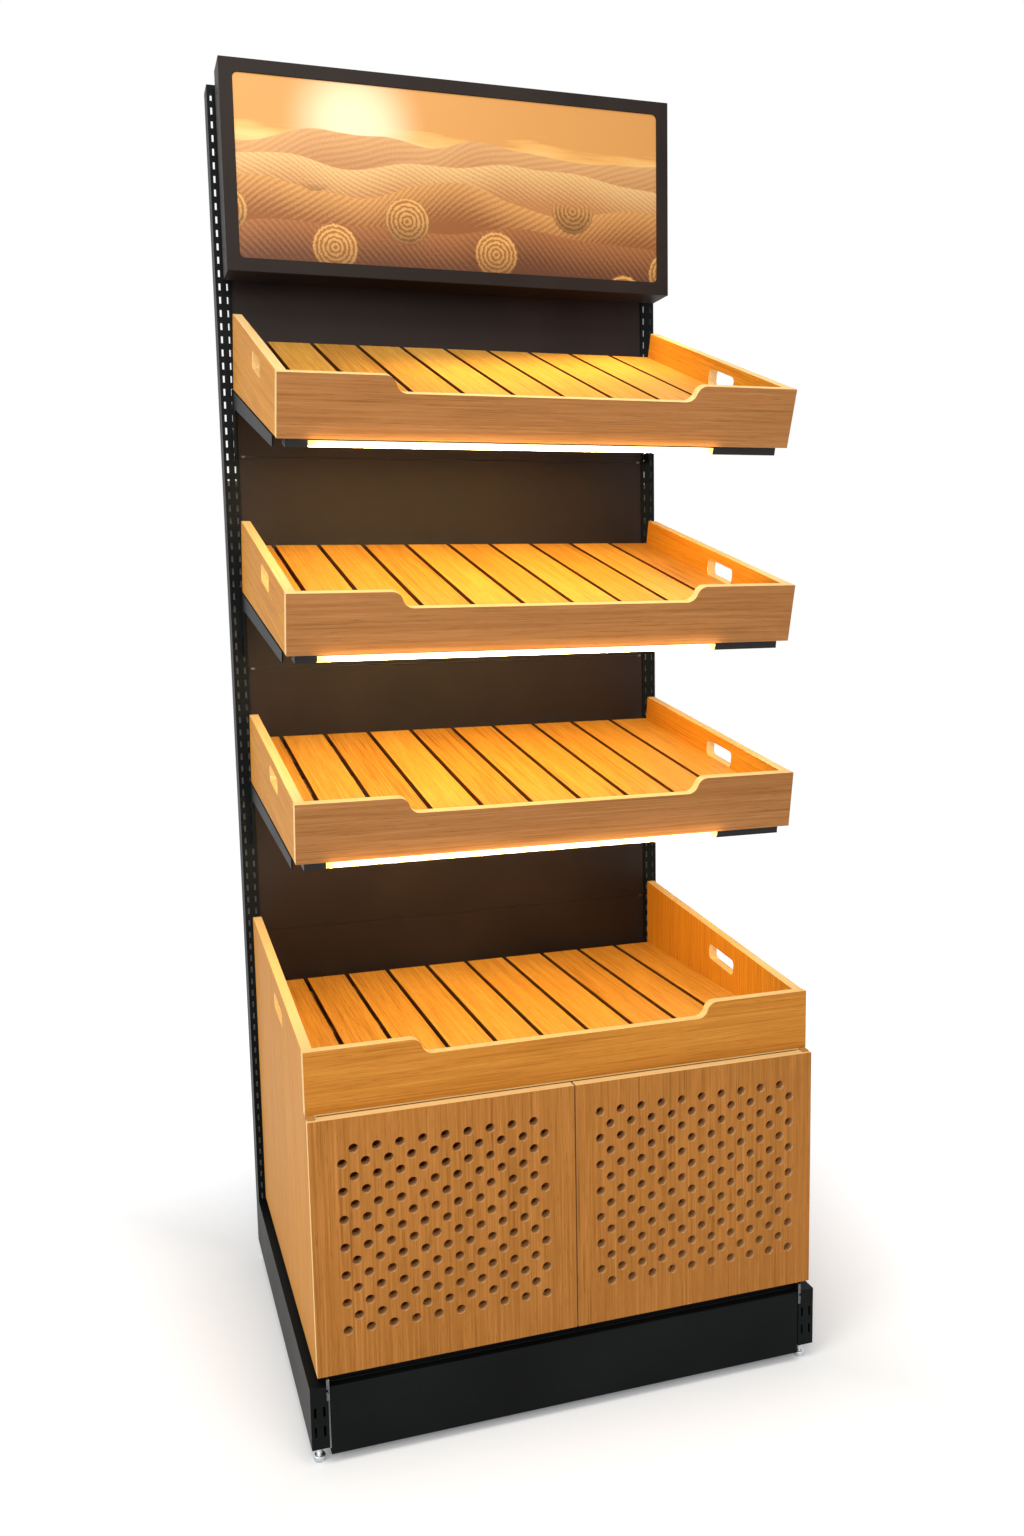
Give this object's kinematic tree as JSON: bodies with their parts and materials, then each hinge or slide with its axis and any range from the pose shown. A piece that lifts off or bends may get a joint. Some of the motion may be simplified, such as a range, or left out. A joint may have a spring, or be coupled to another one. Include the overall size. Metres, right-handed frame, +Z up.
{
  "type": "display shelf",
  "caption": "Bay of shop shelving with slotted steel uprights, tilted slatted wood trays on lit brackets, a header light box and a perforated-door cabinet under a slatted bin.",
  "frame": {"origin": "on the floor, in the middle of the bay's width and of its depth", "axes": "+X to the right seen from the front, +Y to the back, +Z up; the front faces -Y"},
  "size_m": [0.93, 0.756, 2.414],
  "materials": {
    "black_steel": "satin powder coat, near black",
    "panel_steel": "satin powder coat, brown black",
    "zinc": "bright zinc plate",
    "oak_front": "clear-coated oak-look board, grain along the board",
    "oak_side": "clear-coated oak-look board, lighter edge-glued face",
    "oak_slat": "clear-coated oak-look slats, grain front to back",
    "oak_door": "clear-coated oak-look board, upright grain",
    "diffuser": "frosted, lit warm white from inside",
    "picture": "back-lit printed panel",
    "lamp": "white lamp board",
    "dark_plastic": "moulded, fine matt"
  },
  "bodies": {
    "shelf": {"back_panels": "panel_steel", "base_deck": "black_steel", "base_leg_left": "black_steel", "base_leg_right": "black_steel", "bin_front": "oak_front", "bin_ledgers": "oak_slat", "cabinet_back": "oak_side", "cabinet_floor": "oak_side", "cabinet_side_left": "oak_side", "cabinet_side_right": "oak_side", "foot_nuts": "zinc", "kick_hooks": "zinc", "kick_plate": "black_steel", "latch_housing": "dark_plastic", "light_bar_1": "black_steel", "light_bar_2": "black_steel", "light_bar_3": "black_steel", "light_diffuser_1": "diffuser", "light_diffuser_2": "diffuser", "light_diffuser_3": "diffuser", "light_strips": "lamp", "lightbox_bezel": "black_steel", "lightbox_driver": "dark_plastic", "lightbox_hooks": "black_steel", "lightbox_housing": "black_steel", "lightbox_lamps": "lamp", "lightbox_picture": "picture", "panel_clips": "zinc", "pivot_plates": "black_steel", "rear_beams": "black_steel", "tray_1_brackets": "black_steel", "tray_2_brackets": "black_steel", "tray_3_brackets": "black_steel", "upright_left": "black_steel", "upright_right": "black_steel"},
    "door_left": {"door_left": "oak_door", "door_left_fittings": "zinc"},
    "latch_left": {"latch_plunger_left": "dark_plastic"},
    "door_right": {"door_right": "oak_door", "door_right_fittings": "zinc"},
    "latch_right": {"latch_plunger_right": "dark_plastic"},
    "tray_1": {"tray_1_sides": "oak_side", "tray_1_front": "oak_front", "tray_1_slats": "oak_slat", "tray_1_bearers": "oak_slat"},
    "tray_2": {"tray_2_sides": "oak_side", "tray_2_front": "oak_front", "tray_2_slats": "oak_slat", "tray_2_bearers": "oak_slat"},
    "tray_3": {"tray_3_sides": "oak_side", "tray_3_front": "oak_front", "tray_3_slats": "oak_slat", "tray_3_bearers": "oak_slat"},
    "bin_deck": {"bin_slats": "oak_slat", "bin_battens": "oak_slat"},
    "foot_front_left": {"foot_front_left": "zinc"},
    "foot_front_right": {"foot_front_right": "zinc"},
    "foot_rear_left": {"foot_rear_left": "zinc"},
    "foot_rear_right": {"foot_rear_right": "zinc"}
  },
  "joints": [
    {"name": "door_left_swing", "type": "hinge", "parent": "shelf", "child": "door_left", "pos_m": [-0.447, -0.365, 0.3785], "axis": [0, 0, -1], "range_deg": [0, 100]},
    {"name": "door_right_swing", "type": "hinge", "parent": "shelf", "child": "door_right", "pos_m": [0.447, -0.365, 0.3785], "axis": [0, 0, 1], "range_deg": [0, 100]},
    {"name": "latch_left_push", "type": "slide", "parent": "shelf", "child": "latch_left", "axis": [0, 1, 0], "range_m": [0, 0.003], "stiffness_N_per_m": 300},
    {"name": "latch_right_push", "type": "slide", "parent": "shelf", "child": "latch_right", "axis": [0, 1, 0], "range_m": [0, 0.003], "stiffness_N_per_m": 300},
    {"name": "tray_1_lift", "type": "slide", "parent": "shelf", "child": "tray_1", "axis": [0, -0.3338, 0.9426], "range_m": [0, 0.06]},
    {"name": "tray_2_lift", "type": "slide", "parent": "shelf", "child": "tray_2", "axis": [0, -0.2419, 0.9703], "range_m": [0, 0.06]},
    {"name": "tray_3_lift", "type": "slide", "parent": "shelf", "child": "tray_3", "axis": [0, -0.1564, 0.9877], "range_m": [0, 0.06]},
    {"name": "bin_deck_lift", "type": "slide", "parent": "shelf", "child": "bin_deck", "axis": [0, 0, 1], "range_m": [0, 0.1]},
    {"name": "foot_front_left_turn", "type": "hinge", "parent": "shelf", "child": "foot_front_left", "pos_m": [-0.45, -0.35, 0.02], "axis": [0, 0, 1], "continuous": true},
    {"name": "foot_front_right_turn", "type": "hinge", "parent": "shelf", "child": "foot_front_right", "pos_m": [0.45, -0.35, 0.02], "axis": [0, 0, 1], "continuous": true},
    {"name": "foot_rear_left_turn", "type": "hinge", "parent": "shelf", "child": "foot_rear_left", "pos_m": [-0.45, 0.353, 0.02], "axis": [0, 0, 1], "continuous": true},
    {"name": "foot_rear_right_turn", "type": "hinge", "parent": "shelf", "child": "foot_rear_right", "pos_m": [0.45, 0.353, 0.02], "axis": [0, 0, 1], "continuous": true}
  ]
}
